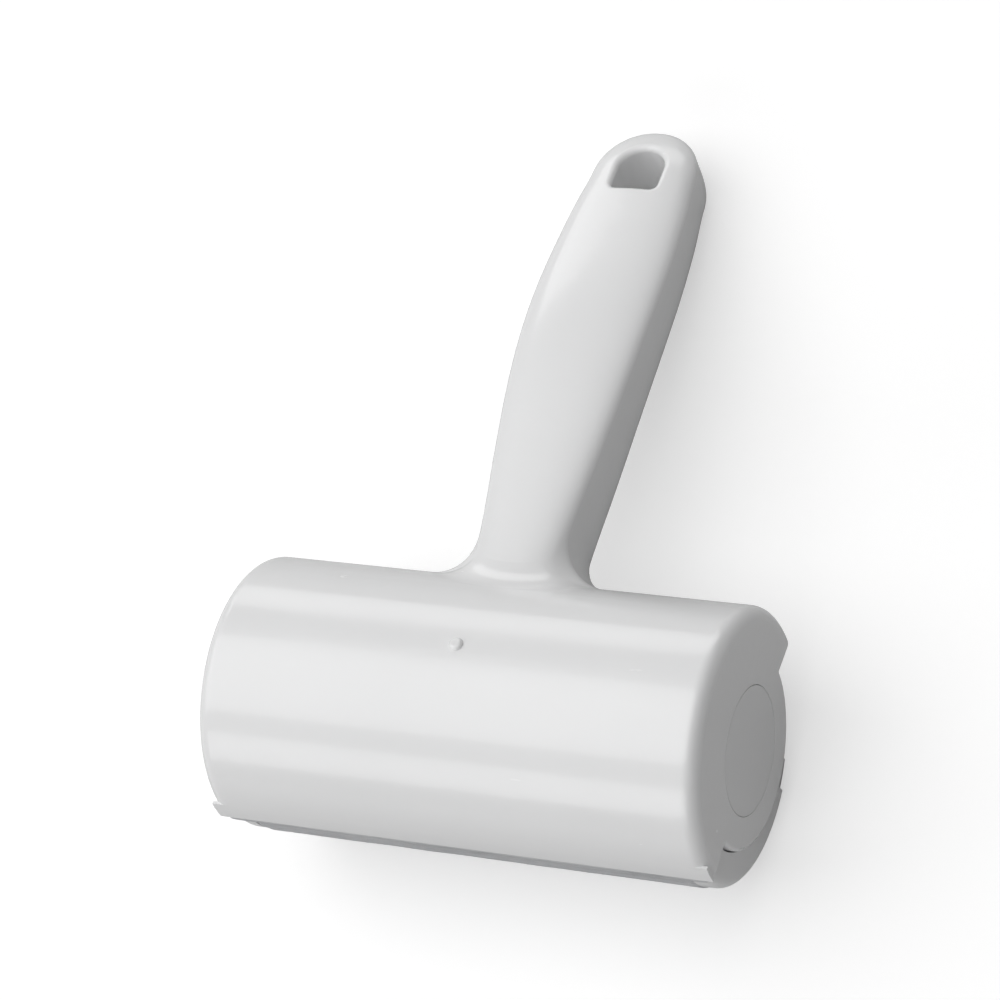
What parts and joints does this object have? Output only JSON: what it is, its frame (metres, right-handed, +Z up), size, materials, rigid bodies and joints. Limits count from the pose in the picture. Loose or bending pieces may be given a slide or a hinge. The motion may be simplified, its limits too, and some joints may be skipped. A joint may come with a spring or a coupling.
{
  "type": "lint roller",
  "caption": "Reusable pet-hair and lint roller: a round housing with a rocking velvet drum, a rear dust door with a release button, and a bent hollow handle with a hanging hole.",
  "frame": {"origin": "centre of the footprint of the roller as it lies on its back, on the surface that it rests on", "axes": "+X along the drum's axis, +Y from the drum to the handle's tip, +Z up, out of the handle's front face"},
  "size_m": [0.124, 0.1864, 0.065],
  "materials": {
    "housing_plastic": "glossy white moulded shell",
    "cap_plastic": "glossy white moulded cap",
    "frame_plastic": "satin off-white moulding",
    "door_plastic": "glossy white moulded door",
    "button_plastic": "satin light grey moulding",
    "velvet": "short directional pile",
    "lip_velvet": "short directional pile on a narrow strip",
    "blade_rubber": "matt soft rubber",
    "steel": "plated steel"
  },
  "bodies": {
    "housing": {"main_housing": "housing_plastic", "handle_back_cover": "housing_plastic", "handle_screws": "steel", "end_cap_left": "cap_plastic", "end_cap_right": "cap_plastic", "inner_frame": "frame_plastic", "frame_screws": "steel", "pivot_pin_left": "steel", "pivot_pin_right": "steel", "lip_strip_front": "lip_velvet", "lip_strip_rear": "lip_velvet", "door_hinge_pin": "steel", "button_spring": "steel"},
    "drum": {"drum_core": "frame_plastic", "drum_cheek_left": "cap_plastic", "drum_cheek_right": "cap_plastic", "velvet_pad_front": "velvet", "velvet_pad_rear": "velvet", "drum_blade": "blade_rubber"},
    "door": {"dust_door": "door_plastic"},
    "button": {"release_button": "button_plastic"}
  },
  "joints": [
    {"name": "drum_rock", "type": "hinge", "parent": "housing", "child": "drum", "pos_m": [0, -0.06112, 0.03253], "axis": [1, 0, 0], "range_deg": [-12, 12]},
    {"name": "door_open", "type": "hinge", "parent": "housing", "child": "door", "pos_m": [0, -0.05278, 0.00444], "axis": [-1, 0, 0], "range_deg": [0, 90]},
    {"name": "button_press", "type": "slide", "parent": "housing", "child": "button", "axis": [0, 0.1385, 0.9904], "range_m": [0, 0.0018], "stiffness_N_per_m": 600, "deforming": ["button_spring"]}
  ]
}
